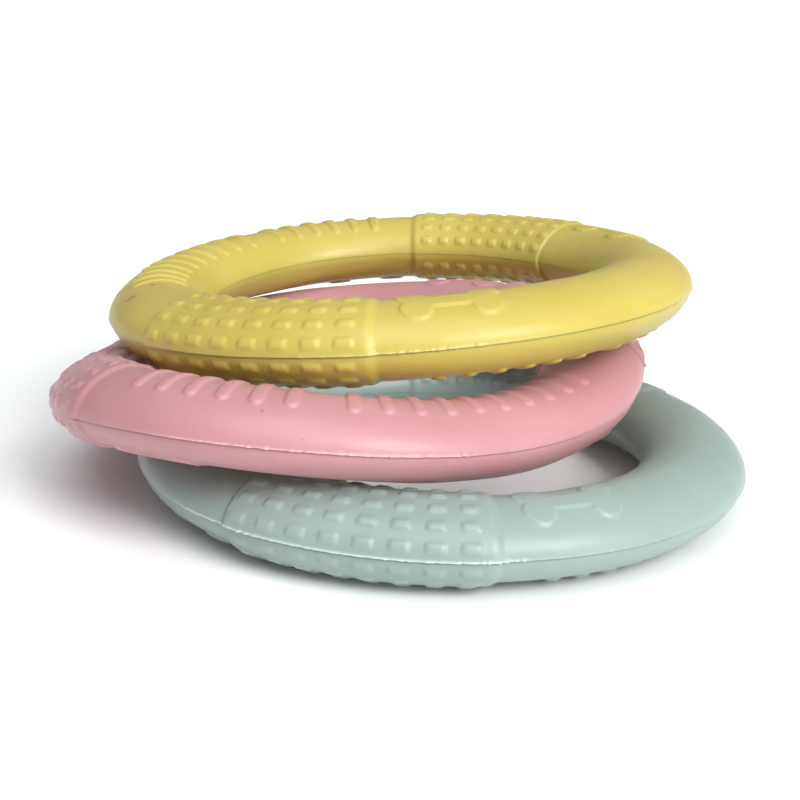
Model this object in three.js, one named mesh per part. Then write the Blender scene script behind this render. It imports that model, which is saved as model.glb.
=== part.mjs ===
// A loose stack of three moulded foam training rings, in millimetres, +Z up.
// Each ring is two half rings, bonded at the seam that runs round its outer and inner edge.
// Angles are in degrees, anticlockwise from +X, and lengths round a ring are along its outer edge.
import * as THREE from 'three';

// Ring.
const OUTER_DIAMETER = 280;
const TUBE_WIDTH = 47.6;
const RING_HEIGHT = 33.2;
const SECTION_POWER = 1.79;
const BOND_GAP = 0.3;
const LIP_OVERHANG = 0.7;

// Grips: two raised sleeves on a ring, opposite each other, set with rows and columns of nubs.
const SLEEVE_RISE = 1.4;
const SLEEVE_STEP = 1;
const SLEEVE_RAMP = 5;
const COLLAR_LENGTH = 4.2;
const STEP_TO_NUB = 3.1;
const NUB_COLUMNS = 8;
const NUB_ROWS = 7;
const NUB_LENGTH = 8.5;
const NUB_WIDTH = 4.8;
const NUB_SPACE = 5.5;
const NUB_DRAFT = 0.4;
const NUB_RISE = 1.2;
const OUTER_SEAM_TO_ROWS = 0.5;
const INNER_SEAM_TO_ROWS = 2.8;

// Ribs: two groups on one side of each half ring, between its grips. Each rib crosses the crown.
const RIB_RISE = 1.3;
const RIB_WIDTH = 6;
const RIB_SPACE = 8.7;
const RIB_DRAFT = 0.8;
const RIB_END_RAMP = 2.5;
const OUTER_SEAM_TO_RIB = 19;
const INNER_SEAM_TO_RIB = 15.7;
const GRIP_TO_RIBS = 23;
const RIB_GROUPS = [6, 10];
const RIB_GROUP_SPACE = 20;

// Flat facets stand in for the round skin, half inside it and half outside.
const FACET_LENGTH = 18.5;
const FACET_ROWS = 9;
const FACET_RISE = 0.3;

// How the rings lie on each other and on the floor, seen from the middle of the lowest one.
const REST_GAP = 0.4;
const FLOOR_PRESS = 0.3;
const PINK_X = -47.4;
const PINK_Y = 14.8;
const PINK_LEAN = { angle: 4.3, towards: 163.2 };
const PINK_SAG = 7.7;
const PINK_CURL = 1.9;
const PINK_OVAL = 3.3;
const PINK_EGG = 4.4;
const PINK_HUMP = 1.4;
const YELLOW_X = -21.4;
const YELLOW_Y = 46.2;
const YELLOW_LEAN = { angle: 4.9, towards: 170 };
const YELLOW_SAG = 1.7;

const { degToRad, radToDeg } = THREE.MathUtils;
const HALF_TURN = 180;

/** A bend that goes its size one way at its turn and waves times round a ring, and the other way between. */
const wave = (size, waves, turn) => (angle) => size * Math.cos(waves * (angle - degToRad(turn)));

/** A bend that goes its size at its turn, and fades out at its reach to either side. */
const nudge = (size, turn, reach) => (angle) => {
  const away = radToDeg(Math.acos(Math.cos(angle - degToRad(turn))));
  return (size / 2) * (1 + Math.cos(Math.PI * Math.min(away / reach, 1)));
};

// turn is where a ring's first grip starts. lean says how far its axis leans, and which way. A soft ring
// is bent out of its own plane by lifts and out of round by pushes.
const RINGS = [
  {
    name: 'mint_ring',
    colour: 0xb2cdc6,
    turn: -129.8,
    centre: [0, 0],
    lean: { angle: 0, towards: 0 },
    lifts: [],
    pushes: [],
  },
  {
    name: 'pink_ring',
    colour: 0xeeacb2,
    turn: -5.1,
    centre: [PINK_X, PINK_Y],
    lean: PINK_LEAN,
    lifts: [wave(PINK_SAG, 2, 53.2), wave(PINK_CURL, 3, 6.9), nudge(PINK_HUMP, 122, 55)],
    pushes: [wave(PINK_OVAL, 2, 93.6), wave(PINK_EGG, 3, 1.9)],
  },
  {
    name: 'yellow_ring',
    colour: 0xecde74,
    turn: -142.2,
    centre: [YELLOW_X, YELLOW_Y],
    lean: YELLOW_LEAN,
    lifts: [wave(YELLOW_SAG, 2, -71)],
    pushes: [],
  },
];
const UPPER = { name: 'upper_half', up: 1, inset: 0 };
const LOWER = { name: 'lower_half', up: -1, inset: LIP_OVERHANG };

/** The angle that a length round the ring takes up. */
const arc = (length) => radToDeg(length / (OUTER_DIAMETER / 2));

/** A half ring's section, from its outer seam over the crown to its inner seam. */
class HalfSection extends THREE.Curve {
  constructor(halfWidth, height) {
    super();
    this.halfWidth = halfWidth;
    this.height = height;
    this.arcLengthDivisions = 400;
  }

  getPoint(t, target = new THREE.Vector2()) {
    const angle = Math.PI * t;
    const across = Math.sign(Math.cos(angle)) * Math.abs(Math.cos(angle)) ** (2 / SECTION_POWER);
    const up = Math.abs(Math.sin(angle)) ** (2 / SECTION_POWER);
    return target.set(this.halfWidth * across, this.height * up);
  }
}

for (const side of [UPPER, LOWER]) {
  side.section = new HalfSection(TUBE_WIDTH / 2 - side.inset, (RING_HEIGHT - BOND_GAP) / 2);
}

/** The share of the section that a length across it takes up. */
const share = (length) => length / UPPER.section.getLength();

const NUB_PITCH = NUB_LENGTH + NUB_SPACE;
const SLEEVE_LENGTH = STEP_TO_NUB + NUB_COLUMNS * NUB_PITCH - NUB_SPACE + COLLAR_LENGTH;
const GRIP_LENGTH = SLEEVE_LENGTH + SLEEVE_RAMP;
const NUB_ROW_SHARE = (1 - share(OUTER_SEAM_TO_ROWS + INNER_SEAM_TO_ROWS)) / NUB_ROWS;
const FLOOR_HEIGHT = FLOOR_PRESS - RING_HEIGHT / 2 - SLEEVE_RISE - NUB_RISE;

/** How far some bends move the skin at an angle round a ring. */
const bend = (bends, angle) => bends.reduce((sum, part) => sum + part(angle), 0);

/** A point of a half ring's skin, in the ring's own frame, standing out by a rise. */
function skinPoint(ring, side, { turn, along, rise }) {
  const point = side.section.getPointAt(along);
  const tangent = side.section.getTangentAt(along);
  const out = rise + FACET_RISE;
  const onSeam = along === 0 || along === 1;
  const angle = degToRad(ring.turn + turn);
  const middle = (OUTER_DIAMETER - TUBE_WIDTH) / 2 + bend(ring.pushes, angle);
  const radius = middle + point.x + out * tangent.y;
  const height = side.up * (BOND_GAP / 2 + (onSeam ? 0 : point.y - out * tangent.x));
  const lifted = height + bend(ring.lifts, angle);
  const place = new THREE.Vector3(radius * Math.cos(angle), radius * Math.sin(angle), lifted);
  if (ring === RINGS[0]) place.z = Math.max(place.z, FLOOR_HEIGHT);
  return place;
}

/** A line of skin points from seam to seam, at an angle, with a rise for each share of the section. */
function column(turn, alongs, riseAt = () => 0) {
  return { turn, points: alongs.map((along) => ({ turn, along, rise: riseAt(along) })) };
}

const gripAlongs = Array.from({ length: NUB_ROWS + 1 }, (_, row) => {
  const onSeam = row === 0 || row === NUB_ROWS;
  return onSeam ? row / NUB_ROWS : share(OUTER_SEAM_TO_ROWS) + row * NUB_ROW_SHARE;
});
const plainAlongs = Array.from({ length: FACET_ROWS + 1 }, (_, row) => row / FACET_ROWS);
const ribStart = share(OUTER_SEAM_TO_RIB);
const ribEnd = 1 - share(INNER_SEAM_TO_RIB);
const ribAlongs = [
  0,
  ribStart / 2,
  ribStart,
  ribStart + share(RIB_END_RAMP),
  (ribStart + ribEnd) / 2,
  ribEnd - share(RIB_END_RAMP),
  ribEnd,
  (ribEnd + 1) / 2,
  1,
];

/** The columns of a grip: a stepped end, a strip for each column of nubs, a collar and a ramp. */
function gripColumns(start) {
  const sleeveColumn = (length) => column(start + arc(length), gripAlongs, () => SLEEVE_RISE);
  const columns = [column(start, gripAlongs), sleeveColumn(SLEEVE_STEP)];
  for (let i = 0; i < NUB_COLUMNS; i++) {
    const nubStart = STEP_TO_NUB + i * NUB_PITCH;
    columns.at(-1).nubTurn = start + arc(nubStart);
    columns.push(sleeveColumn(nubStart + NUB_LENGTH + NUB_SPACE / 2));
  }
  columns.push(sleeveColumn(SLEEVE_LENGTH), column(start + arc(GRIP_LENGTH), gripAlongs));
  return columns;
}

/** The columns of a stretch of bare skin, both ends left out. */
function bareColumns(start, end) {
  const steps = Math.max(2, Math.round((end - start) / arc(FACET_LENGTH)));
  const step = (end - start) / steps;
  return Array.from({ length: steps - 1 }, (_, i) => column(start + (i + 1) * step, plainAlongs));
}

/** The columns of a rib: foot, crest, crest and foot. */
function ribColumns(turn) {
  const crestAt = (along) => (along > ribStart && along < ribEnd ? RIB_RISE : 0);
  return [
    column(turn, ribAlongs),
    column(turn + arc(RIB_DRAFT), ribAlongs, crestAt),
    column(turn + arc(RIB_WIDTH - RIB_DRAFT), ribAlongs, crestAt),
    column(turn + arc(RIB_WIDTH), ribAlongs),
  ];
}

/** The columns of a ribbed stretch, with bare skin before and after its groups of ribs. */
function ribbedColumns(start, end) {
  const columns = [];
  let groupStart = GRIP_TO_RIBS;
  for (const count of RIB_GROUPS) {
    for (let i = 0; i < count; i++) {
      columns.push(...ribColumns(start + arc(groupStart + i * (RIB_WIDTH + RIB_SPACE))));
    }
    groupStart += count * (RIB_WIDTH + RIB_SPACE) + RIB_GROUP_SPACE - RIB_SPACE;
  }
  const before = bareColumns(start, columns[0].turn);
  return [...before, ...columns, ...bareColumns(columns.at(-1).turn, end)];
}

/** All columns of a half ring. The lower half is the upper one turned half round. */
function halfColumns(side) {
  const stretches = side === UPPER ? [bareColumns, ribbedColumns] : [ribbedColumns, bareColumns];
  return stretches.flatMap((stretch, i) => {
    const start = i * HALF_TURN;
    return [...gripColumns(start), ...stretch(start + arc(GRIP_LENGTH), start + HALF_TURN)];
  });
}

/** Collects the vertices and triangles of a half ring. */
class HalfRingSkin {
  constructor(ring, side) {
    this.ring = ring;
    this.side = side;
    this.positions = [];
    this.triangles = [];
  }

  addPoint(point) {
    this.positions.push(...skinPoint(this.ring, this.side, point));
    return this.positions.length / 3 - 1;
  }

  addTriangle(a, b, c) {
    this.triangles.push(...(this.side.up > 0 ? [a, b, c] : [a, c, b]));
  }

  /** Joins two columns, which may have different numbers of points. */
  addStrip(left, right) {
    let i = 0;
    let j = 0;
    while (i + j < left.ids.length + right.ids.length - 2) {
      const nextLeft = left.points[i + 1]?.along ?? Infinity;
      const nextRight = right.points[j + 1]?.along ?? Infinity;
      if (nextLeft <= nextRight) {
        this.addTriangle(left.ids[i], right.ids[j], left.ids[i + 1]);
        i += 1;
      } else {
        this.addTriangle(left.ids[i], right.ids[j], right.ids[j + 1]);
        j += 1;
      }
    }
  }

  /** Fills the strip between two columns with nubs, each with a flat top and four drafted sides. */
  addNubs(left, right) {
    const start = left.nubTurn + arc(NUB_DRAFT);
    const end = left.nubTurn + arc(NUB_LENGTH - NUB_DRAFT);
    const halfTop = share(NUB_WIDTH / 2 - NUB_DRAFT);
    const rise = SLEEVE_RISE + NUB_RISE;
    for (let row = 0; row < NUB_ROWS; row++) {
      const middle = share(OUTER_SEAM_TO_ROWS) + (row + 0.5) * NUB_ROW_SHARE;
      const foot = [left.ids[row], right.ids[row], right.ids[row + 1], left.ids[row + 1]];
      const top = [
        this.addPoint({ turn: start, along: middle - halfTop, rise }),
        this.addPoint({ turn: end, along: middle - halfTop, rise }),
        this.addPoint({ turn: end, along: middle + halfTop, rise }),
        this.addPoint({ turn: start, along: middle + halfTop, rise }),
      ];
      this.addTriangle(top[0], top[1], top[2]);
      this.addTriangle(top[0], top[2], top[3]);
      foot.forEach((corner, k) => {
        const next = (k + 1) % foot.length;
        this.addTriangle(corner, foot[next], top[next]);
        this.addTriangle(corner, top[next], top[k]);
      });
    }
  }

  /** Closes the half ring with the flat face that is bonded to the other half. */
  addSeamFace(left, right) {
    const [outerLeft, innerLeft] = [left.ids[0], left.ids.at(-1)];
    const [outerRight, innerRight] = [right.ids[0], right.ids.at(-1)];
    this.addTriangle(outerLeft, innerLeft, outerRight);
    this.addTriangle(outerRight, innerLeft, innerRight);
  }

  geometry() {
    const geometry = new THREE.BufferGeometry();
    geometry.setAttribute('position', new THREE.Float32BufferAttribute(this.positions, 3));
    geometry.setIndex(this.triangles);
    geometry.computeVertexNormals();
    return geometry;
  }
}

/** The closed mesh of a half ring. */
function halfRing(ring, side) {
  const skin = new HalfRingSkin(ring, side);
  const columns = halfColumns(side);
  for (const line of columns) line.ids = line.points.map((point) => skin.addPoint(point));
  columns.forEach((left, i) => {
    const right = columns[(i + 1) % columns.length];
    if (left.nubTurn === undefined) skin.addStrip(left, right);
    else skin.addNubs(left, right);
    skin.addSeamFace(left, right);
  });
  const material = new THREE.MeshStandardMaterial({ color: ring.colour, roughness: 0.5, metalness: 0 });
  const mesh = new THREE.Mesh(skin.geometry(), material);
  mesh.name = `${ring.name}_${side.name}`;
  return mesh;
}

/** A ring of two halves, leaning and placed over the floor but not yet raised. */
function ringGroup(ring) {
  const group = new THREE.Group();
  const up = new THREE.Vector3(0, 0, 1);
  const axis = up.clone().applyAxisAngle(new THREE.Vector3(0, 1, 0), degToRad(ring.lean.angle));
  axis.applyAxisAngle(up, degToRad(ring.lean.towards));
  group.quaternion.setFromUnitVectors(up, axis);
  group.position.set(...ring.centre, 0);
  group.add(halfRing(ring, UPPER), halfRing(ring, LOWER));
  return group;
}

/** The heights of a mesh over each square millimetre: its top where up is 1, its underside where -1. */
function heightField(mesh, up) {
  const heights = new Map();
  const position = mesh.geometry.getAttribute('position');
  const index = mesh.geometry.getIndex();
  const corners = [new THREE.Vector3(), new THREE.Vector3(), new THREE.Vector3()];
  const box = new THREE.Box3();
  const spot = new THREE.Vector3();
  const weights = new THREE.Vector3();
  for (let first = 0; first < index.count; first += corners.length) {
    corners.forEach((corner, k) => {
      mesh.localToWorld(corner.fromBufferAttribute(position, index.getX(first + k)));
    });
    const cornerHeights = new THREE.Vector3(...corners.map((corner) => corner.z));
    corners.forEach((corner) => corner.setZ(0));
    box.setFromPoints(corners);
    for (let x = Math.ceil(box.min.x); x <= box.max.x; x++) {
      for (let y = Math.ceil(box.min.y); y <= box.max.y; y++) {
        const found = THREE.Triangle.getBarycoord(spot.set(x, y, 0), ...corners, weights);
        if (!found || Math.min(...weights) < 0) continue;
        const height = weights.dot(cornerHeights);
        const kept = heights.get(`${x} ${y}`) ?? -up * Infinity;
        if (up * height > up * kept) heights.set(`${x} ${y}`, height);
      }
    }
  }
  return heights;
}

/** How far a ring is raised to lie just clear of the ring under it. */
function restingHeight(group, groupBelow) {
  const underside = heightField(group.children[1], LOWER.up);
  const topBelow = heightField(groupBelow.children[0], UPPER.up);
  let raise = 0;
  for (const [spot, height] of underside) {
    if (topBelow.has(spot)) raise = Math.max(raise, topBelow.get(spot) - height);
  }
  return raise + REST_GAP;
}

/** The stack, each ring resting on the one before, its origin under the middle of its box. */
function ringStack() {
  const stack = new THREE.Group();
  const groups = RINGS.map(ringGroup);
  groups.forEach((group, i) => {
    group.updateMatrixWorld(true);
    if (i > 0) group.position.z = restingHeight(group, groups[i - 1]);
    group.updateMatrixWorld(true);
    stack.add(group);
  });
  const box = new THREE.Box3().setFromObject(stack, true);
  const centre = box.getCenter(new THREE.Vector3());
  stack.position.set(-centre.x, -centre.y, -box.min.z);
  return stack;
}

export default ringStack();
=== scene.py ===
"""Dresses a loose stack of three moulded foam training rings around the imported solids.

Each ring is two half rings bonded at a seam. A half ring is folded from a flat sheet, whose lines
and columns are gathered where its relief has edges, and takes its ring's bends and lean. Sizes are
in millimetres and angles in degrees. A turn is an angle round a ring from the stepped end of its
first grip, and a length round a ring is along its outer edge.
"""

import logging
import math
from dataclasses import dataclass, field
from enum import Enum
from typing import Mapping, Sequence, Union

import bmesh
import bpy
import numpy as np
from mathutils import Matrix, Quaternion, Vector

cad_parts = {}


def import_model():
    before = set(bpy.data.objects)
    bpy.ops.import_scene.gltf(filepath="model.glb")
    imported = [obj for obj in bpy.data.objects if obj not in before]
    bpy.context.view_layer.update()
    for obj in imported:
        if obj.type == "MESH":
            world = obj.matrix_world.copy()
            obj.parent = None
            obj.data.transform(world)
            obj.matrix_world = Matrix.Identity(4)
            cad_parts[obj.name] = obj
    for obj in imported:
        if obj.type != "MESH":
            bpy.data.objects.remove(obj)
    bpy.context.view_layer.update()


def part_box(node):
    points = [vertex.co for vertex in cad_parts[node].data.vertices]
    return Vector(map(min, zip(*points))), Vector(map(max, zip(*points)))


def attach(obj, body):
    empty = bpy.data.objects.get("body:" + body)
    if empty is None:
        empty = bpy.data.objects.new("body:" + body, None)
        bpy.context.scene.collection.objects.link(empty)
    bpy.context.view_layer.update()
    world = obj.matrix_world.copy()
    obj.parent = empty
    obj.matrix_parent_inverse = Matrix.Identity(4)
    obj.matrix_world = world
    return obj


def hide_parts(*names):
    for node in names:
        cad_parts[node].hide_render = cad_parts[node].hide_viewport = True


log = logging.getLogger("training_rings")

MM = 0.001
FULL_TURN = 360.0
HALF_TURN = 180.0
SHARP_ANGLE = 60.0
WELD_REACH = 0.001
SHEET_REACH = 0.5
UP = Vector((0, 0, 1))

Colour = tuple[float, float, float]
Triple = tuple[float, float, float]
Span = tuple[float, float]


def smooth(share: np.ndarray) -> np.ndarray:
    """Return a soft step from 0 to 1 as each share goes from 0 to 1."""
    held = np.clip(share, 0.0, 1.0)
    return held * held * (3.0 - 2.0 * held)


def rounded_box(across: np.ndarray, along: np.ndarray, corner: float) -> np.ndarray:
    """Work out how far places are from the edge of a box with round corners.

    Args:
        across: How far each place lies outside the box's side in one direction, less than 0 inside.
        along: The same in the other direction.
        corner: The corner's radius.

    Returns:
        The distance outside the edge, less than 0 inside.
    """
    outer = np.hypot(np.maximum(across + corner, 0.0), np.maximum(along + corner, 0.0))
    inner = np.minimum(np.maximum(across, along) + corner, 0.0)
    return outer + inner - corner


def flank(edge: np.ndarray, width: float) -> np.ndarray:
    """Return a soft wall astride an edge, from 0 outside it to 1 inside it."""
    return smooth(0.5 - edge / width)


def dome(edge: np.ndarray, reach: float, low: float) -> np.ndarray:
    """Return the height of a rounded top, which is low at its edge and 1 from reach inside it."""
    return low + (1.0 - low) * smooth(-edge / reach)


def hump(away: np.ndarray) -> np.ndarray:
    """Return a soft hump, which is 1 where away is 0 and next to nothing past 2."""
    return np.exp(-(away**2))


@dataclass(frozen=True)
class Spacing:
    """How lines are gathered: close within hold of an edge, and wide from there past fade."""

    close: float
    wide: float
    hold: float
    fade: float
    samples: int = 12001


def gather(edges: Sequence[float], length: float, spacing: Spacing) -> np.ndarray:
    """Place lines along a length, close together at its edges and wide apart between them.

    Args:
        edges: The places where the relief rises or falls.
        length: The whole length.
        spacing: How close and how wide the lines lie.

    Returns:
        The places of the lines, from 0 to the length.
    """
    fine = np.linspace(0.0, length, spacing.samples)
    reach = np.min(np.abs(fine[:, None] - np.array(edges)[None, :]), axis=1)
    share = np.clip((reach - spacing.hold) / spacing.fade, 0.0, 1.0)
    width = spacing.close + (spacing.wide - spacing.close) * share
    count = np.concatenate([[0.0], np.cumsum(np.diff(fine) / width[1:])])
    lines = math.ceil(count[-1])
    return np.interp(np.linspace(0.0, count[-1], lines + 1), count, fine)


def flat_sheet(name: str, columns: int, lines: int, reach: float) -> bpy.types.Mesh:
    """Lay out a flat sheet about the origin.

    Args:
        name: The mesh's name.
        columns: How many strips it has from side to side.
        lines: How many it has from front to back.
        reach: How far it goes each way, in metres.

    Returns:
        The sheet's mesh.
    """
    flat = bmesh.new()
    bmesh.ops.create_grid(flat, x_segments=columns, y_segments=lines, size=reach)
    mesh = bpy.data.meshes.new(name)
    flat.to_mesh(mesh)
    flat.free()
    return mesh


def new_object(name: str, data: bpy.types.ID) -> bpy.types.Object:
    """Make an object and put it in the scene.

    Args:
        name: The object's name.
        data: Its mesh, lamp or camera.

    Returns:
        The object.
    """
    made = bpy.data.objects.new(name, data)
    bpy.context.scene.collection.objects.link(made)
    return made


def places_of(mesh: bpy.types.Mesh) -> np.ndarray:
    """Read the places of a mesh's vertices.

    Args:
        mesh: The mesh.

    Returns:
        One row for each vertex, in metres.
    """
    places = np.empty(len(mesh.vertices) * 3)
    mesh.vertices.foreach_get("co", places)
    return places.reshape(-1, 3)


@dataclass(frozen=True)
class RingSize:
    """The bare ring that every relief stands on."""

    outer_diameter: float = 280.0
    tube_width: float = 47.6
    height: float = 33.2
    section_power: float = 1.79
    crown_softness: float = 0.06
    bond_gap: float = 0.14
    lip_overhang: float = 0.7

    @property
    def outer_radius(self) -> float:
        """Return the radius of the outer edge."""
        return self.outer_diameter / 2

    @property
    def centre_radius(self) -> float:
        """Return the radius of the middle of the tube."""
        return (self.outer_diameter - self.tube_width) / 2

    def turn_of(self, length: float) -> float:
        """Return the angle that a length round the ring takes up."""
        return math.degrees(length / self.outer_radius)

    def length_of(self, turn: np.ndarray) -> np.ndarray:
        """Return the length round the ring that an angle takes up."""
        return np.radians(turn) * self.outer_radius


class Side(Enum):
    """Which half of a ring a moulding is."""

    UPPER = 1
    LOWER = -1


class Section:
    """A half ring's oval section, from its outer seam over the crown to its inner seam."""

    SAMPLES = 4001

    def __init__(self, size: RingSize, side: Side) -> None:
        """Lay out the section.

        Args:
            size: The ring's sizes.
            side: The half ring, as the lower one is narrower by the lip's overhang.
        """
        inset = 0.0 if side is Side.UPPER else size.lip_overhang
        angle = np.linspace(0.0, math.pi, self.SAMPLES)
        self.across = (size.tube_width / 2 - inset) * self._bulge(np.cos(angle), size)
        self.up = (size.height - size.bond_gap) / 2 * self._bulge(np.sin(angle), size)
        steps = np.hypot(np.diff(self.across), np.diff(self.up))
        lengths = np.concatenate([[0.0], np.cumsum(steps)])
        self.length = float(lengths[-1])
        self.share = lengths / self.length

    @staticmethod
    def _bulge(part: np.ndarray, size: RingSize) -> np.ndarray:
        """Bend a circle's sine or cosine to the section's, soft where it passes 0.

        Args:
            part: The sine or cosine.
            size: The ring's sizes.

        Returns:
            The bent values, from -1 to 1.
        """
        power = 1 / size.section_power - 0.5
        full = (1 + size.crown_softness**2) ** power
        return part * (part * part + size.crown_softness**2) ** power / full

    def at(self, shares: np.ndarray) -> tuple[np.ndarray, np.ndarray, np.ndarray, np.ndarray]:
        """Find places on the section.

        Args:
            shares: The places, as shares of the section's length.

        Returns:
            How far they lie outside the tube's middle and above the seam, and both parts of the
            direction in which the skin faces there.
        """
        slope_across = np.gradient(self.across, self.share)
        slope_up = np.gradient(self.up, self.share)
        facing = np.hypot(slope_across, slope_up)
        out_across = np.interp(shares, self.share, slope_up / facing)
        out_up = np.interp(shares, self.share, -slope_across / facing)
        across = np.interp(shares, self.share, self.across)
        up = np.interp(shares, self.share, self.up)
        return across, up, out_across, out_up


@dataclass(frozen=True)
class Spots:
    """Places on a half ring's skin, one for each of its vertices."""

    turn: np.ndarray
    across: np.ndarray
    radius: np.ndarray
    section_length: float


@dataclass(frozen=True)
class Grip:
    """A raised sleeve with a stepped end, rows and columns of nubs, a collar and a ramp."""

    ring: RingSize = RingSize()
    sleeve_rise: float = 1.4
    step: float = 1.7
    groove_depth: float = 0.1
    groove_at: float = -0.4
    groove_width: float = 0.8
    # Where the painted shade by the stepped end lies, and how wide it is.
    crease_at: float = 0.4
    crease_width: float = 0.8
    ramp: float = 5.0
    collar: float = 4.2
    step_to_nub: float = 3.1
    columns: int = 8
    rows: int = 7
    nub_length: float = 8.5
    nub_width: float = 4.8
    nub_space: float = 5.5
    nub_corner: float = 1.7
    nub_wall: float = 2.1
    nub_shrink: float = 0.45
    nub_rise: float = 0.85
    nub_edge: float = 0.8
    outer_seam_to_rows: float = 0.5
    inner_seam_to_rows: float = 2.8

    @property
    def pitch(self) -> float:
        """Return the length from one column of nubs to the next."""
        return self.nub_length + self.nub_space

    @property
    def length(self) -> float:
        """Return the length of the whole grip."""
        nubs = self.columns * self.pitch - self.nub_space
        return self.step_to_nub + nubs + self.collar + self.ramp

    def row_pitch(self, section_length: float) -> float:
        """Return the length across the section from one row of nubs to the next."""
        return (section_length - self.outer_seam_to_rows - self.inner_seam_to_rows) / self.rows

    def row_edges(self, section_length: float) -> list[float]:
        """Find where the rows of nubs begin and end.

        Args:
            section_length: The length of the section.

        Returns:
            The places across the section.
        """
        pitch = self.row_pitch(section_length)
        middles = [self.outer_seam_to_rows + (row + 0.5) * pitch for row in range(self.rows)]
        return [middle + end * self.nub_width / 2 for middle in middles for end in (-1, 1)]

    def column_edges(self, start: float) -> list[float]:
        """Find where the grip's relief rises or falls.

        Args:
            start: The length round the ring at which the stepped end begins.

        Returns:
            The lengths round the ring.
        """
        firsts = [start + self.step_to_nub + i * self.pitch for i in range(self.columns)]
        nubs = [first + end for first in firsts for end in (0.0, self.nub_length)]
        step = [start + self.groove_at, start + self.step / 2]
        return [*step, *nubs, start + self.length - self.ramp / 2]

    def rise(self, spots: Spots, start: float) -> np.ndarray:
        """Work out how far the skin stands out on and round the grip.

        Args:
            spots: The places on the skin.
            start: The turn at which the stepped end begins.

        Returns:
            The rise at each place.
        """
        along = self.ring.length_of(spots.turn - start)
        sleeve = smooth(along / self.step) * smooth((self.length - along) / self.ramp)
        column = np.clip(np.floor((along - self.step_to_nub) / self.pitch), 0, self.columns - 1)
        middle = self.step_to_nub + column * self.pitch + self.nub_length / 2
        scale = spots.radius / self.ring.outer_radius
        beyond_end = (np.abs(along - middle) - self.nub_length / 2) * scale
        row_pitch = self.row_pitch(spots.section_length)
        row = np.floor((spots.across - self.outer_seam_to_rows) / row_pitch)
        row = np.clip(row, 0, self.rows - 1)
        row_middle = self.outer_seam_to_rows + (row + 0.5) * row_pitch
        beyond_side = np.abs(spots.across - row_middle) - self.nub_width / 2
        edge = rounded_box(beyond_end, beyond_side, self.nub_corner) + self.nub_shrink
        nub = flank(edge, self.nub_wall) * dome(edge, self.nub_corner, self.nub_edge)
        groove = hump((along - self.groove_at) / self.groove_width)
        return self.sleeve_rise * sleeve + self.nub_rise * nub - self.groove_depth * groove

    def crease(self, spots: Spots, start: float) -> np.ndarray:
        """Return how much painted shade falls by the stepped end's edge at each place, from 0 to 1.
        """
        along = self.ring.length_of(spots.turn - start)
        return hump((along - self.crease_at) / self.crease_width)


@dataclass(frozen=True)
class Ribs:
    """Two groups of ribs with round ends, each rib running over the crown."""

    ring: RingSize = RingSize()
    groups: tuple[int, ...] = (6, 10)
    group_space: float = 20.0
    width: float = 6.0
    space: float = 8.7
    wall: float = 1.7
    rise_height: float = 1.15
    rib_edge: float = 0.85
    outer_seam_to_rib: float = 19.0
    inner_seam_to_rib: float = 15.7
    grip_to_ribs: float = 23.0

    def starts(self) -> list[float]:
        """Lay out the ribs.

        Returns:
            The length from the grip's end to the start of each rib.
        """
        starts = []
        group_start = self.grip_to_ribs
        for count in self.groups:
            starts += [group_start + i * (self.width + self.space) for i in range(count)]
            group_start += count * (self.width + self.space) - self.space + self.group_space
        return starts

    def column_edges(self, start: float) -> list[float]:
        """Return the lengths round the ring where ribs rise or fall."""
        return [start + rib + end for rib in self.starts() for end in (0.0, self.width)]

    def rise(self, spots: Spots, turn: np.ndarray) -> np.ndarray:
        """Work out how far the skin stands out on the ribs.

        Args:
            spots: The places on the skin.
            turn: The turn from the grip before the ribs to each place.

        Returns:
            The rise at each place.
        """
        along = self.ring.length_of(turn)
        middles = np.array(self.starts()) + self.width / 2
        nearest = middles[np.argmin(np.abs(along[:, None] - middles[None, :]), axis=1)]
        scale = spots.radius / self.ring.outer_radius
        beyond_side = (np.abs(along - nearest) - self.width / 2) * scale
        top_end = spots.section_length - self.inner_seam_to_rib
        beyond_end = np.maximum(self.outer_seam_to_rib - spots.across, spots.across - top_end)
        edge = rounded_box(beyond_side, beyond_end, self.width / 2)
        return self.rise_height * flank(edge, self.wall) * dome(edge, self.width / 2, self.rib_edge)


@dataclass(frozen=True)
class BoneEmblem:
    """A plain bone in low relief, lying along the ring."""

    ring: RingSize = RingSize()
    grip_to_emblem: float = 12.0
    length: float = 43.0
    shaft_width: float = 9.0
    shaft_corner: float = 1.0
    knob_radius: float = 6.6
    knob_offset: float = 5.28
    wall: float = 1.3
    rise_height: float = 0.9
    outer_seam_to_middle: float = 25.5
    gathered: int = 12

    def column_edges(self, start: float) -> list[float]:
        """Return lengths round the ring, gathered all along the bone, whose outline is curved."""
        first = start + self.grip_to_emblem
        return list(np.linspace(first, first + self.length, self.gathered))

    def rise(self, spots: Spots, turn: np.ndarray) -> np.ndarray:
        """Work out how far the skin stands out on the bone.

        Args:
            spots: The places on the skin.
            turn: The turn from the grip before the bone to each place.

        Returns:
            The rise at each place.
        """
        scale = spots.radius / self.ring.outer_radius
        middle = self.grip_to_emblem + self.length / 2
        along = (self.ring.length_of(turn) - middle) * scale
        across = spots.across - self.outer_seam_to_middle
        beyond_shaft = np.abs(along) - (self.length / 2 - self.knob_radius)
        beyond_side = np.abs(across) - self.shaft_width / 2
        shaft = rounded_box(beyond_shaft, beyond_side, self.shaft_corner)
        knobs = np.hypot(beyond_shaft, np.abs(across) - self.knob_offset) - self.knob_radius
        return self.rise_height * flank(np.minimum(shaft, knobs), self.wall)


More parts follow.
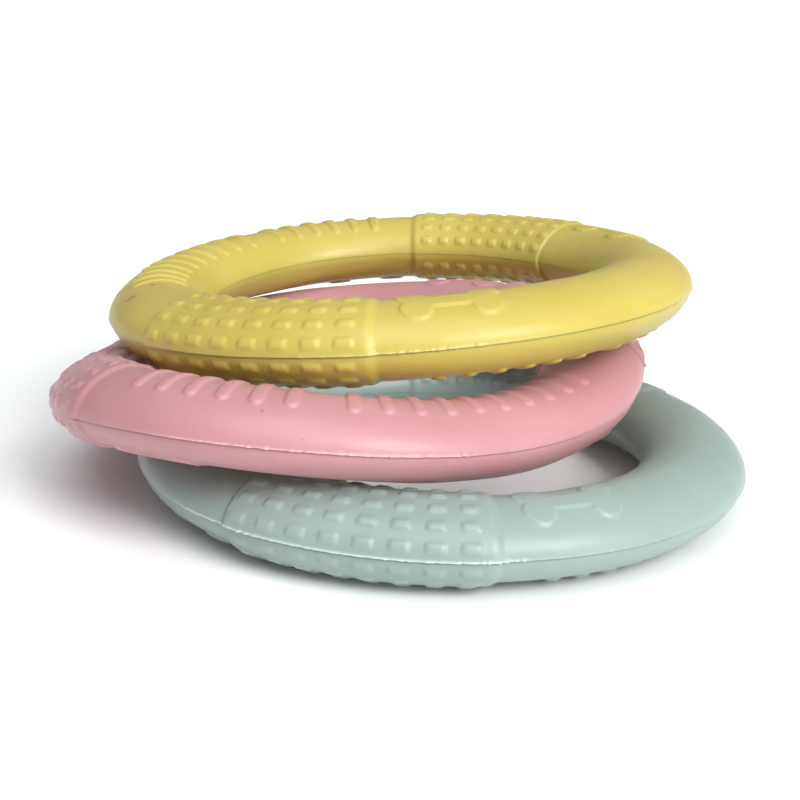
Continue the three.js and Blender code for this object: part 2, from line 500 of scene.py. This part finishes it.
@dataclass(frozen=True)
class SkinWear:
    """How far a moulded skin strays from the true shape."""

    waves: int = 14
    wave_rise: float = 0.06
    longest_wave: float = 90.0
    shortest_wave: float = 22.0
    fin: float = 0.45
    fin_reach: float = 0.5
    edge_round: float = 0.3
    inner_fill: float = 0.85
    fill_reach: float = 4.0
    ragged: float = 0.28
    ragged_waves: tuple[float, ...] = (9.0, 5.3, 3.1, 2.3)
    flash_depth: float = 0.7
    plain_share: float = 0.3

    def fullness(self, pale: np.ndarray) -> np.ndarray:
        """Return how full the outer edge stands, which is 1 where it is pale."""
        return self.plain_share + (1.0 - self.plain_share) * pale

    def rise(self, spots: Spots, size: RingSize, draw: np.random.Generator) -> np.ndarray:
        """Add up soft waves over the skin.

        Args:
            spots: The places on the skin.
            size: The ring's sizes.
            draw: The source of the waves' directions and phases.

        Returns:
            The rise at each place, less than 0 in a dip.
        """
        total = np.zeros_like(spots.turn)
        around = 2 * math.pi * size.outer_radius
        for _ in range(self.waves):
            wave_length = draw.uniform(self.shortest_wave, self.longest_wave)
            slant = draw.uniform(-1.0, 1.0)
            phase = draw.uniform(0.0, 2 * math.pi)
            times = max(1, round(around / wave_length))
            swing = spots.across * slant * 2 * math.pi / wave_length
            total += np.sin(np.radians(spots.turn) * times + swing + phase)
        return total * self.wave_rise / math.sqrt(self.waves / 2)

    def edge(self, spots: Spots, side: Side, size: RingSize, pale: np.ndarray) -> np.ndarray:
        """Work out the thin fin on an upper half, or the round edge and inner fill of a lower one.

        Args:
            spots: The places on the skin.
            side: The half ring that the skin belongs to.
            size: The ring's sizes.
            pale: How much each place belongs to the stretch where the fin is full.

        Returns:
            The rise at each place.
        """
        at_outer = hump(spots.across / self.fin_reach)
        if side is Side.UPPER:
            return self.fin * self.fullness(pale) * at_outer
        at_inner = hump((spots.section_length - spots.across) / self.fill_reach)
        return self.inner_fill * size.lip_overhang * at_inner - self.edge_round * at_outer

    def trim(
        self,
        spots: Spots,
        size: RingSize,
        flashes: Sequence["Flash"],
        pale: np.ndarray,
        draw: np.random.Generator,
    ) -> np.ndarray:
        """Work out the rough edge that trimming left along the outer seam.

        Args:
            spots: The places on the skin.
            size: The ring's sizes.
            flashes: The bits of foam left standing.
            pale: How much each place belongs to the stretch where the edge is roughest.
            draw: The source of the rough edge.

        Returns:
            The rise at each place.
        """
        around = size.length_of(spots.turn)
        rough = np.zeros_like(around)
        for wave_length in self.ragged_waves:
            phase = draw.uniform(0.0, 2 * math.pi)
            rough += np.sin(around * 2 * math.pi / wave_length + phase) * self.ragged / 2
        for flash in flashes:
            away = size.length_of(spots.turn - flash.turn) / flash.width
            rough += flash.size * hump(away)
        return rough * self.fullness(pale) * hump(spots.across / self.flash_depth)


@dataclass(frozen=True)
class PaleEdge:
    """The stretch of the outer seam with a full fin, made pale by a painted highlight, which goes
    as far as reach to each side.
    """

    turn: float
    reach: float
    fade: float = 10.0

    def share(self, turn: np.ndarray) -> np.ndarray:
        """Return how much each turn belongs to the stretch, from 0 to 1."""
        away = np.abs((turn - self.turn + HALF_TURN) % FULL_TURN - HALF_TURN)
        return flank(away - self.reach, self.fade)


@dataclass(frozen=True)
class Flash:
    """A bit of foam left standing on the outer seam."""

    turn: float
    size: float
    width: float = 0.8


@dataclass(frozen=True)
class Speck:
    """A speck of dirt on the upper half of a ring, at a turn and a length from the outer seam."""

    turn: float
    across: float
    radius: float

    def cover(self, spots: Spots, size: RingSize) -> np.ndarray:
        """Work out how much of the speck lies on each place.

        Args:
            spots: The places on the skin.
            size: The ring's sizes.

        Returns:
            The share at each place, from 0 to 1.
        """
        along = size.length_of(spots.turn - self.turn) * spots.radius / size.outer_radius
        edge = np.hypot(along, spots.across - self.across) - self.radius
        return flank(edge, self.radius)


@dataclass(frozen=True)
class Bend:
    """A wave round a soft ring, all of its size at its turn and as far the other way between."""

    size: float
    waves: int
    turn: float

    def at(self, angle: np.ndarray) -> np.ndarray:
        """Return how far the bend moves the skin at angles in radians."""
        return self.size * np.cos(self.waves * (angle - math.radians(self.turn)))


@dataclass(frozen=True)
class Nudge:
    """A bend of a soft ring at one place, all of its size at its turn and none past its reach."""

    size: float
    turn: float
    reach: float

    def at(self, angle: np.ndarray) -> np.ndarray:
        """Return how far the nudge moves the skin at angles in radians."""
        away = np.degrees(np.arccos(np.cos(angle - math.radians(self.turn))))
        return self.size / 2 * (1 + np.cos(math.pi * np.minimum(away / self.reach, 1.0)))


@dataclass(frozen=True)
class Lie:
    """How a soft ring lies: its turn, its lean, and its bends out of its plane and out of round."""

    turn: float
    lean: float = 0.0
    lean_towards: float = 0.0
    lifts: tuple[Union[Bend, Nudge], ...] = ()
    pushes: tuple[Union[Bend, Nudge], ...] = ()

    def rotation(self) -> Quaternion:
        """Work out how the ring's axis leans.

        Returns:
            The rotation that takes an upright axis there.
        """
        lean = math.radians(self.lean)
        towards = math.radians(self.lean_towards)
        aside = math.sin(lean)
        axis = Vector((aside * math.cos(towards), aside * math.sin(towards), math.cos(lean)))
        return UP.rotation_difference(axis)

    def lift(self, angle: np.ndarray) -> np.ndarray:
        """Return how far the ring lies above its own plane at angles in radians."""
        return sum((bend.at(angle) for bend in self.lifts), np.zeros_like(angle))

    def push(self, angle: np.ndarray) -> np.ndarray:
        """Return how far the ring is pushed out of round at angles in radians."""
        return sum((bend.at(angle) for bend in self.pushes), np.zeros_like(angle))


@dataclass
class HalfRing:
    """One moulding of a ring: its section, its relief and its skin."""

    name: str
    side: Side
    lie: Lie
    seed: int
    pale_edge: PaleEdge
    flashes: tuple[Flash, ...]
    specks: tuple[Speck, ...]
    size: RingSize = RingSize()
    grip: Grip = Grip()
    ribs: Ribs = Ribs()
    emblem: BoneEmblem = BoneEmblem()
    wear: SkinWear = SkinWear()
    line_spacing: Spacing = Spacing(close=0.4, wide=1.12, hold=0.5, fade=1.8)
    column_spacing: Spacing = Spacing(close=0.58, wide=2.4, hold=0.7, fade=5.0)
    section: Section = field(init=False)
    section_length: float = field(init=False)

    def __post_init__(self) -> None:
        """Lay out the section, and the length that relief is measured on in both halves."""
        self.section = Section(self.size, self.side)
        self.section_length = Section(self.size, Side.UPPER).length

    @property
    def ribs_start(self) -> float:
        """Return the turn at which the grip before the ribs ends."""
        first = HALF_TURN if self.side is Side.UPPER else 0.0
        return first + self.size.turn_of(self.grip.length)

    @property
    def bare_start(self) -> float:
        """Return the turn at which the grip before the bare stretch ends."""
        return (self.ribs_start + HALF_TURN) % FULL_TURN

    def lines(self) -> np.ndarray:
        """Return the shares of the section at which lines run round the ring."""
        edges = [0.0, self.section_length, *self.grip.row_edges(self.section_length)]
        return gather(edges, self.section_length, self.line_spacing) / self.section_length

    def columns(self) -> np.ndarray:
        """Gather the columns that cross the skin.

        Returns:
            The turns at which they lie, one full turn without its end.
        """
        around = self.size.length_of(FULL_TURN)
        half = around / 2
        bare = self.size.length_of(self.bare_start)
        bare_end = bare + half - self.grip.length
        emblem = self.emblem.column_edges(bare)
        edges = [*self.grip.column_edges(0.0), *self.grip.column_edges(half)]
        edges += self.ribs.column_edges(self.size.length_of(self.ribs_start))
        edges += [*emblem, *(bare_end - (edge - bare) for edge in emblem)]
        edges += [self.size.length_of(mark.turn) for mark in (*self.flashes, *self.specks)]
        wrapped = [edge % around for edge in edges]
        places = gather([*wrapped, 0.0, around], around, self.column_spacing)[:-1]
        return places / around * FULL_TURN

    @staticmethod
    def weld(mesh: bpy.types.Mesh) -> None:
        """Join the folded sheet's edges where they meet, and face its skin outward.

        Args:
            mesh: The folded sheet.
        """
        closed = bmesh.new()
        closed.from_mesh(mesh)
        edge = [vertex for vertex in closed.verts if vertex.is_boundary]
        bmesh.ops.remove_doubles(closed, verts=edge, dist=WELD_REACH * MM)
        bmesh.ops.recalc_face_normals(closed, faces=closed.faces)
        closed.to_mesh(mesh)
        closed.free()

    def rise(self, spots: Spots) -> np.ndarray:
        """Add up all relief of the half ring.

        Args:
            spots: The places on the skin.

        Returns:
            How far each place stands out.
        """
        total = self.grip.rise(spots, 0.0) + self.grip.rise(spots, HALF_TURN)
        total += self.ribs.rise(spots, (spots.turn - self.ribs_start) % FULL_TURN)
        bare_turn = (spots.turn - self.bare_start) % FULL_TURN
        total += self.emblem.rise(spots, bare_turn)
        bare_span = HALF_TURN - self.size.turn_of(self.grip.length)
        total += self.emblem.rise(spots, bare_span - bare_turn)
        return total

    def stray(self, spots: Spots, pale: np.ndarray) -> np.ndarray:
        """Add up how far the skin strays from the true shape.

        Args:
            spots: The places on the skin.
            pale: How much each place belongs to the stretch with the full fin and its painted
                highlight.

        Returns:
            How far each place stands out, less than 0 in a dip.
        """
        draw = np.random.default_rng(self.seed)
        total = self.wear.rise(spots, self.size, draw)
        total += self.wear.edge(spots, self.side, self.size, pale)
        if self.side is Side.UPPER:
            total += self.wear.trim(spots, self.size, self.flashes, pale, draw)
        return total

    def marks(self, spots: Spots, rise: np.ndarray, pale: np.ndarray) -> dict[str, np.ndarray]:
        """Work out the numbers that the foam's finish reads at each vertex.

        Args:
            spots: The places on the skin.
            rise: How far the relief stands out at each place.
            pale: How much each place belongs to the stretch with the full fin and its painted
                highlight.

        Returns:
            A number for each place, under each of the names that the finish reads.
        """
        dirt = np.zeros_like(spots.turn)
        lip = np.zeros_like(spots.turn)
        # On the lower half, the distance from the outer seam, which places painted shade just under
        # the upper half's lip; the upper half gets none.
        seam = spots.across
        if self.side is Side.UPPER:
            dirt = sum((speck.cover(spots, self.size) for speck in self.specks), dirt)
            # Painted highlight: the upper half's lip is coloured lighter along the stretch with the
            # full fin.
            lip = pale * hump(spots.across / self.wear.fin_reach)
            seam = np.full_like(spots.turn, spots.section_length)
        # Painted shade in the corner at each grip's stepped end.
        crease = self.grip.crease(spots, 0.0) + self.grip.crease(spots, HALF_TURN)
        return {"dirt": dirt, "crease": crease, "lip": lip, "rise": rise, "seam": seam}

    @staticmethod
    def _numbers(places: np.ndarray, count: int) -> np.ndarray:
        """Return which column or line each place of the flat sheet is on, with the end's as 0."""
        return np.rint((places + SHEET_REACH) * count).astype(int) % count

    def build(self) -> bpy.types.Object:
        """Make the half ring about its ring's own middle, leaning but not yet placed.

        Returns:
            The new object.
        """
        shares = self.lines()
        columns = self.columns()
        mesh = flat_sheet(self.name, len(columns), len(shares), SHEET_REACH)
        place = places_of(mesh)
        turn = columns[self._numbers(place[:, 0], len(columns))]
        line = self._numbers(place[:, 1], len(shares))
        share = shares[line]
        across, up, out_across, out_up = self.section.at(share)
        bare_radius = self.size.centre_radius + across
        spots = Spots(turn, share * self.section_length, bare_radius, self.section_length)
        rise = self.rise(spots)
        pale = self.pale_edge.share(turn)
        out = rise + self.stray(spots, pale)
        angle = np.radians(turn + self.lie.turn)
        radius = self.size.centre_radius + self.lie.push(angle) + across + out * out_across
        on_seam = (line == 0) | (line == len(shares) - 1)
        height = np.where(on_seam, 0.0, np.maximum(up + out * out_up, 0.0))
        place[:, 0] = radius * np.cos(angle)
        place[:, 1] = radius * np.sin(angle)
        place[:, 2] = self.side.value * (self.size.bond_gap / 2 + height) + self.lie.lift(angle)
        leaning = place @ np.array(self.lie.rotation().to_matrix()).T
        mesh.vertices.foreach_set("co", (leaning * MM).ravel())
        for name, values in self.marks(spots, rise, pale).items():
            attribute = mesh.attributes.new(name, "FLOAT", "POINT")
            attribute.data.foreach_set("value", values.astype(np.float32))
        self.weld(mesh)
        return new_object(self.name, mesh)


class Shade:
    """A number that varies over a surface, with arithmetic that adds Math nodes."""

    def __init__(self, paint: "Paint", socket: bpy.types.NodeSocket) -> None:
        """Wrap a socket.

        Args:
            paint: The paint of the material or world that the socket belongs to.
            socket: The output that carries the number.
        """
        self.paint = paint
        self.socket = socket

    def _with(self, operation: str, first: "Value", second: "Value") -> "Shade":
        """Return the result of a Math node on two values."""
        return self.paint.shade("ShaderNodeMath", {"operation": operation}, {0: first, 1: second})

    def __add__(self, other: "Value") -> "Shade":
        """Return the sum."""
        return self._with("ADD", self, other)

    def __sub__(self, other: "Value") -> "Shade":
        """Return the difference."""
        return self._with("SUBTRACT", self, other)

    def __rsub__(self, other: "Value") -> "Shade":
        """Return the difference from a plain number."""
        return self._with("SUBTRACT", other, self)

    def __mul__(self, other: "Value") -> "Shade":
        """Return the product."""
        return self._with("MULTIPLY", self, other)

    __radd__ = __add__
    __rmul__ = __mul__


Value = Union[Shade, float, int, Sequence[float]]
Sockets = Mapping[Union[str, int], Value]


@dataclass(frozen=True)
class Grain:
    """A noise in a finish, with its scale in repeats to the metre."""

    scale: float
    detail: float
    roughness: float = 0.5


class Paint:
    """Adds nodes to one material or world."""

    MIX_SHARE = 0
    MIX_FIRST_COLOUR = 6
    MIX_SECOND_COLOUR = 7
    MIX_COLOUR = 2

    def __init__(self, owner: Union[bpy.types.Material, bpy.types.World]) -> None:
        """Start with no nodes at all.

        Args:
            owner: The material or world that the nodes belong to.
        """
        self.owner = owner
        self.owner.use_nodes = True
        self.tree = self.owner.node_tree
        self.tree.nodes.clear()

    def node(self, kind: str, settings: Mapping[str, object], sockets: Sockets) -> bpy.types.Node:
        """Add a node.

        Args:
            kind: The node's type.
            settings: Its settings, which are set before its sockets.
            sockets: A value or a link for each named or numbered input.

        Returns:
            The node.
        """
        node = self.tree.nodes.new(kind)
        for setting, choice in settings.items():
            setattr(node, setting, choice)
        for name, value in sockets.items():
            if isinstance(value, Shade):
                self.tree.links.new(value.socket, node.inputs[name])
            else:
                node.inputs[name].default_value = value
        return node

    def shade(
        self,
        kind: str,
        settings: Mapping[str, object],
        sockets: Sockets,
        output: Union[str, int] = 0,
    ) -> Shade:
        """Add a node and return one of its outputs."""
        return Shade(self, self.node(kind, settings, sockets).outputs[output])

    def cover(self, sockets: Sockets) -> bpy.types.Material:
        """Finish the material with a surface.

        Args:
            sockets: A value or a link for each of the surface's inputs that is set.

        Returns:
            The material.
        """
        surface = self.shade("ShaderNodeBsdfPrincipled", {}, sockets)
        self.node("ShaderNodeOutputMaterial", {}, {"Surface": surface})
        return self.owner

    def attribute(self, name: str) -> Shade:
        """Return a number that the mesh keeps for each vertex."""
        return self.shade("ShaderNodeAttribute", {"attribute_name": name}, {}, "Fac")

    def noise(self, grain: Grain) -> Shade:
        """Add noise on Object coordinates.

        Args:
            grain: The noise's scale, detail and roughness.

        Returns:
            The noise, which lies about 0.5.
        """
        sockets = {
            "Vector": self.shade("ShaderNodeTexCoord", {}, {}, "Object"),
            "Scale": grain.scale,
            "Detail": grain.detail,
            "Roughness": grain.roughness,
        }
        return self.shade("ShaderNodeTexNoise", {}, sockets, "Fac")

    def between(self, value: Shade, low: float, high: float) -> Shade:
        """Return 0 below low, 1 above high and a smooth rise between."""
        sockets = {"Value": value, "From Min": low, "From Max": high}
        return self.shade("ShaderNodeMapRange", {"interpolation_type": "SMOOTHSTEP"}, sockets)

    def mix(self, share: Value, first: Value, second: Value) -> Shade:
        """Mix two colours.

        Args:
            share: The second colour's share.
            first: The colour where the share is 0.
            second: The colour where the share is 1.

        Returns:
            The colour between them.
        """
        sockets = {
            self.MIX_SHARE: share,
            self.MIX_FIRST_COLOUR: first,
            self.MIX_SECOND_COLOUR: second,
        }
        return self.shade("ShaderNodeMix", {"data_type": "RGBA"}, sockets, self.MIX_COLOUR)


@dataclass(frozen=True)
class FoamFinish:
    """Moulded closed-cell foam: a satin skin with a fine grain, rubbed where it stands out, with
    painted shade and a painted highlight.
    """

    slot: str
    colour: Colour
    deep: Colour
    rubbed: Colour
    lip_highlight: Colour
    glow: Colour
    # The colour of the specks of dirt, also used for the painted shade under the lip and at the
    # grips' stepped ends.
    dirt: Colour = (0.09, 0.075, 0.05)
    roughness: float = 0.37
    scatter: float = 0.5
    refraction: float = 1.46
    cloud: Grain = Grain(scale=22.0, detail=3.0)
    mottle: Grain = Grain(scale=160.0, detail=4.0)
    pits: Grain = Grain(scale=900.0, detail=3.0, roughness=0.6)
    pores: Grain = Grain(scale=2600.0, detail=2.0)
    cloud_span: Span = (0.35, 0.7)
    mottle_span: Span = (0.3, 0.7)
    raised_span: Span = (1.6, 2.6)
    seam_span: Span = (0.3, 1.2)
    raised_rubbing: float = 0.35
    # How much painted highlight the lip gets, then how much painted shade falls under the lip and
    # at the grips' stepped ends.
    lip_highlight_share: float = 0.8
    under_lip_shade: float = 0.28
    crease_shade: float = 0.3
    speck_dirt: float = 0.85
    mottle_polish: float = 0.1
    cloud_polish: float = 0.08
    raised_polish: float = 0.05
    pit_depth: float = 0.6
    pore_depth: float = 0.4
    bump_depth: float = 0.2
    bump_strength: float = 0.12

    def tone(self, paint: Paint, cloud: Shade, mottle: Shade, raised: Shade) -> Shade:
        """Mix the colours over the foam.

        Args:
            paint: The foam's paint.
            cloud: The wide noise.
            mottle: The finer noise.
            raised: How much each place stands out.

        Returns:
            The colour.
        """
        dirt = (*self.dirt, 1)
        under_lip = 1 - paint.between(paint.attribute("seam"), *self.seam_span)
        rubbing = raised * self.raised_rubbing * paint.between(mottle, *self.mottle_span)
        deep = paint.between(cloud, *self.cloud_span)
        tone = paint.mix(deep, (*self.colour, 1), (*self.deep, 1))
        tone = paint.mix(rubbing, tone, (*self.rubbed, 1))
        # Painted shade: the lower half darkens just under the upper half's overhanging lip.
        tone = paint.mix(under_lip * self.under_lip_shade, tone, dirt)
        # Painted highlight: a lighter colour on the upper half's lip.
        tone = paint.mix(paint.attribute("lip") * self.lip_highlight_share, tone, (*self.lip_highlight, 1))
        # Painted shade: a dark band in the corner at each grip's stepped end.
        tone = paint.mix(paint.attribute("crease") * self.crease_shade, tone, dirt)
        return paint.mix(paint.attribute("dirt") * self.speck_dirt, tone, dirt)

    def material(self) -> bpy.types.Material:
        """Build the material.

        Returns:
            The material, which reads the numbers that the skin keeps for each vertex.
        """
        paint = Paint(bpy.data.materials.new(self.slot))
        cloud = paint.noise(self.cloud)
        mottle = paint.noise(self.mottle)
        raised = paint.between(paint.attribute("rise"), *self.raised_span)
        polish = self.roughness + self.mottle_polish * (mottle - 0.5)
        polish = polish + self.cloud_polish * (cloud - 0.5) - raised * self.raised_polish
        relief = paint.noise(self.pits) * self.pit_depth + paint.noise(self.pores) * self.pore_depth
        bump = {"Strength": self.bump_strength, "Distance": self.bump_depth * MM, "Height": relief}
        return paint.cover(
            {
                "Base Color": self.tone(paint, cloud, mottle, raised),
                "Roughness": polish,
                "Normal": paint.shade("ShaderNodeBump", {}, bump),
                "IOR": self.refraction,
                "Subsurface Weight": self.scatter,
                "Subsurface Radius": self.glow,
                "Subsurface Scale": MM,
            }
        )


@dataclass
class TrainingRing:
    """A ring: two half rings bonded at their seam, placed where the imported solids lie."""

    name: str
    lie: Lie
    finish: FoamFinish
    seed: int
    pale_edge: PaleEdge
    flashes: tuple[Flash, ...] = ()
    specks: tuple[Speck, ...] = ()

    def build(self) -> None:
        """Make both halves, place them and dress them."""
        material = self.finish.material()
        pieces = {}
        for offset, side in enumerate(Side):
            node = f"{self.name}_{side.name.lower()}_half"
            marks = (self.pale_edge, self.flashes, self.specks)
            half = HalfRing(f"{node}_skin", side, self.lie, self.seed + offset, *marks)
            pieces[node] = half.build()
        shift = self._middle_of_nodes(list(pieces)) - self._middle_of(list(pieces.values()))
        for node, piece in pieces.items():
            self._place(piece, shift)
            piece.data.materials.append(material)
            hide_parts(node)
            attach(piece, self.name)
            log.info("%s: %d faces", piece.name, len(piece.data.polygons))

    @staticmethod
    def _place(piece: bpy.types.Object, shift: Vector) -> None:
        """Move a piece's mesh, and press it flat where it meets the floor.

        Args:
            piece: The piece. Its object stays at the origin.
            shift: How far its mesh moves.
        """
        mesh = piece.data
        mesh.transform(Matrix.Translation(shift))
        places = places_of(mesh)
        places[:, 2] = np.maximum(places[:, 2], 0.0)
        mesh.vertices.foreach_set("co", places.ravel())
        mesh.polygons.foreach_set("use_smooth", [True] * len(mesh.polygons))
        mesh.set_sharp_from_angle(angle=math.radians(SHARP_ANGLE))
        mesh.update()

    @staticmethod
    def _middle_of_nodes(nodes: Sequence[str]) -> Vector:
        """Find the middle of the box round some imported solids.

        Args:
            nodes: The names of the solids' nodes.

        Returns:
            The middle of the box.
        """
        boxes = [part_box(node) for node in nodes]
        lows = [min(box[0][axis] for box in boxes) for axis in range(3)]
        highs = [max(box[1][axis] for box in boxes) for axis in range(3)]
        return (Vector(lows) + Vector(highs)) / 2

    @staticmethod
    def _middle_of(pieces: Sequence[bpy.types.Object]) -> Vector:
        """Find the middle of the box round some pieces.

        Args:
            pieces: The pieces.

        Returns:
            The middle of the box.
        """
        corners = []
        for piece in pieces:
            places = places_of(piece.data)
            corners += [places.min(0), places.max(0)]
        return Vector((np.min(corners, 0) + np.max(corners, 0)) / 2)


@dataclass(frozen=True)
class SoftLight:
    """A distant soft light, at a turn round the stack and at a height above the horizon."""

    name: str
    turn: float
    height: float
    spread: float
    strength: float
    colour: Colour = (1.0, 1.0, 1.0)

    def build(self) -> None:
        """Hang the lamp."""
        lamp = bpy.data.lights.new(self.name, "SUN")
        lamp.angle = math.radians(self.spread)
        lamp.energy = self.strength
        lamp.color = self.colour
        turn = math.radians(self.turn)
        height = math.radians(self.height)
        level = math.cos(height)
        away = Vector((level * math.cos(turn), level * math.sin(turn), math.sin(height)))
        holder = new_object(self.name, lamp)
        holder.location = away
        holder.rotation_euler = away.to_track_quat("Z", "Y").to_euler()


@dataclass(frozen=True)
class Studio:
    """The pale floor, the soft lamps, and the camera, placed from the lowest ring's middle."""

    cool: Colour = (0.9, 0.96, 1.0)
    lights: tuple[SoftLight, ...] = (
        SoftLight("key", turn=-52.0, height=36.0, spread=28.0, strength=2.25),
        SoftLight("window", turn=-88.0, height=66.0, spread=50.0, strength=1.55, colour=cool),
        SoftLight("low", turn=-48.0, height=4.0, spread=60.0, strength=1.55),
    )
    floor_width: float = 80000.0
    floor_colour: Colour = (0.95, 0.95, 0.95)
    floor_roughness: float = 0.8
    floor_gloss: float = 0.2
    sky_colour: Colour = (1.0, 1.0, 1.0)
    sky_strength: float = 0.27
    backdrop_strength: float = 1.0
    lowest_ring_height: float = 18.9
    camera_from_lowest_ring: Triple = (-25.3, -646.2, 210.8)
    camera_aim: Triple = (0.0082, 0.9601, -0.2795)
    camera_roll: float = 1.75
    nearest_seen: float = 10.0
    focal_length: float = 65.1
    sensor_width: float = 36.0

    def build(self) -> None:
        """Set up everything round the stack."""
        self._floor()
        self._sky()
        for light in self.lights:
            light.build()
        self._camera()

    def _floor(self) -> None:
        """Lay a wide pale floor under the stack."""
        mesh = flat_sheet("floor", 1, 1, self.floor_width * MM / 2)
        sockets = {
            "Base Color": (*self.floor_colour, 1),
            "Roughness": self.floor_roughness,
            "Specular IOR Level": self.floor_gloss,
        }
        mesh.materials.append(Paint(bpy.data.materials.new("pale_floor")).cover(sockets))
        new_object("floor", mesh)

    def _sky(self) -> None:
        """Light the room softly, with a plain backdrop where the camera sees past the floor."""
        paint = Paint(bpy.data.worlds.new("room"))
        seen = paint.shade("ShaderNodeLightPath", {}, {}, "Is Camera Ray")
        strength = self.sky_strength + seen * (self.backdrop_strength - self.sky_strength)
        sockets = {"Color": (*self.sky_colour, 1), "Strength": strength}
        sky = paint.shade("ShaderNodeBackground", {}, sockets)
        paint.node("ShaderNodeOutputWorld", {}, {"Surface": sky})
        bpy.context.scene.world = paint.owner
        bpy.context.scene.view_settings.view_transform = "Standard"

    def _camera(self) -> None:
        """Put the camera where the photograph was taken from."""
        low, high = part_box("mint_ring_upper_half")
        middle = (low + high) / 2
        lowest_ring = Vector((middle.x, middle.y, self.lowest_ring_height * MM))
        camera = bpy.data.cameras.new("camera")
        camera.sensor_width = self.sensor_width
        camera.lens = self.focal_length
        camera.clip_start = self.nearest_seen * MM
        holder = new_object("camera", camera)
        holder.location = lowest_ring + Vector(self.camera_from_lowest_ring) * MM
        level = Vector(self.camera_aim).to_track_quat("-Z", "Y")
        holder.rotation_mode = "QUATERNION"
        holder.rotation_quaternion = level @ Quaternion(UP, math.radians(self.camera_roll))
        bpy.context.scene.camera = holder


# In each foam, the lip's lighter colour is a painted highlight.
YELLOW_FOAM = FoamFinish(
    slot="yellow_foam",
    colour=(0.56, 0.455, 0.105),
    deep=(0.53, 0.42, 0.085),
    rubbed=(0.60, 0.50, 0.14),
    lip_highlight=(0.60, 0.50, 0.15),
    glow=(7.0, 4.0, 1.2),
)
PINK_FOAM = FoamFinish(
    slot="pink_foam",
    colour=(0.54, 0.270, 0.291),
    deep=(0.51, 0.243, 0.262),
    rubbed=(0.575, 0.308, 0.331),
    lip_highlight=(0.65, 0.35, 0.365),
    glow=(6.0, 3.0, 2.8),
)
MINT_FOAM = FoamFinish(
    slot="mint_foam",
    colour=(0.315, 0.39, 0.365),
    deep=(0.29, 0.365, 0.34),
    rubbed=(0.35, 0.425, 0.40),
    lip_highlight=(0.60, 0.68, 0.64),
    glow=(3.0, 4.0, 3.6),
)

RINGS = (
    TrainingRing(
        "mint_ring",
        Lie(turn=-129.8),
        MINT_FOAM,
        seed=11,
        pale_edge=PaleEdge(turn=18.0, reach=32.0),
        flashes=(
            Flash(turn=45.7, size=0.7, width=0.7),
            Flash(turn=47.5, size=0.6),
            Flash(turn=48.6, size=1.3, width=1.0),
            Flash(turn=50.2, size=0.6, width=0.7),
            Flash(turn=51.3, size=0.8),
            Flash(turn=57.3, size=0.6),
            Flash(turn=60.8, size=0.9),
            Flash(turn=64.8, size=0.6),
            Flash(turn=66.3, size=0.8, width=1.0),
            Flash(turn=72.4, size=0.7),
            Flash(turn=75.8, size=0.9, width=1.2),
            Flash(turn=350.5, size=0.6, width=0.9),
            Flash(turn=352.2, size=0.7),
            Flash(turn=354.0, size=0.5),
            Flash(turn=4.0, size=0.6),
            Flash(turn=5.6, size=0.7, width=1.0),
            Flash(turn=7.2, size=0.6),
            Flash(turn=9.0, size=0.5),
        ),
    ),
    TrainingRing(
        "pink_ring",
        Lie(
            turn=-5.1,
            lean=4.3,
            lean_towards=163.2,
            lifts=(
                Bend(size=7.7, waves=2, turn=53.2),
                Bend(size=1.9, waves=3, turn=6.9),
                Nudge(size=1.4, turn=122.0, reach=55.0),
            ),
            pushes=(Bend(size=3.3, waves=2, turn=93.6), Bend(size=4.4, waves=3, turn=1.9)),
        ),
        PINK_FOAM,
        seed=21,
        pale_edge=PaleEdge(turn=274.0, reach=26.0),
        flashes=(
            Flash(turn=297.9, size=0.9, width=1.2),
            Flash(turn=299.4, size=0.6, width=1.0),
            Flash(turn=303.7, size=0.5, width=0.7),
            Flash(turn=305.0, size=0.6, width=0.6),
            Flash(turn=306.5, size=0.4, width=0.7),
            Flash(turn=249.5, size=0.3),
            Flash(turn=251.5, size=0.3, width=0.7),
            Flash(turn=253.8, size=0.36),
            Flash(turn=256.0, size=0.24, width=0.7),
            Flash(turn=258.3, size=0.42, width=1.0),
            Flash(turn=260.2, size=0.42),
            Flash(turn=261.4, size=0.3, width=0.6),
            Flash(turn=263.5, size=0.3),
            Flash(turn=266.0, size=0.24, width=0.7),
            Flash(turn=275.5, size=0.3, width=0.7),
        ),
        specks=(
            Speck(turn=264.9, across=15.5, radius=0.45),
            Speck(turn=271.4, across=4.5, radius=0.35),
            Speck(turn=292.5, across=21.0, radius=0.3),
        ),
    ),
    TrainingRing(
        "yellow_ring",
        Lie(
            turn=-142.2,
            lean=4.9,
            lean_towards=170.0,
            lifts=(Bend(size=1.7, waves=2, turn=-71.0),),
        ),
        YELLOW_FOAM,
        seed=31,
        pale_edge=PaleEdge(turn=52.0, reach=14.0),
        flashes=(
            Flash(turn=3.6, size=0.5, width=0.9),
            Flash(turn=16.0, size=0.5),
            Flash(turn=35.7, size=0.6),
            Flash(turn=47.8, size=0.4, width=0.7),
            Flash(turn=52.3, size=0.5, width=0.7),
            Flash(turn=60.5, size=0.4),
        ),
        specks=(
            Speck(turn=338.8, across=28.5, radius=1.1),
            Speck(turn=341.8, across=15.8, radius=0.9),
            Speck(turn=341.8, across=14.4, radius=0.9),
            Speck(turn=341.8, across=17.2, radius=0.9),
            Speck(turn=342.4, across=18.6, radius=0.8),
            Speck(turn=69.5, across=22.0, radius=0.3),
        ),
    ),
)


def main() -> None:
    """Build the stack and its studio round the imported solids."""
    logging.basicConfig(level=logging.INFO, format="%(name)s: %(message)s")
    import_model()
    for ring in RINGS:
        ring.build()
    Studio().build()


if __name__ == "__main__":
    main()
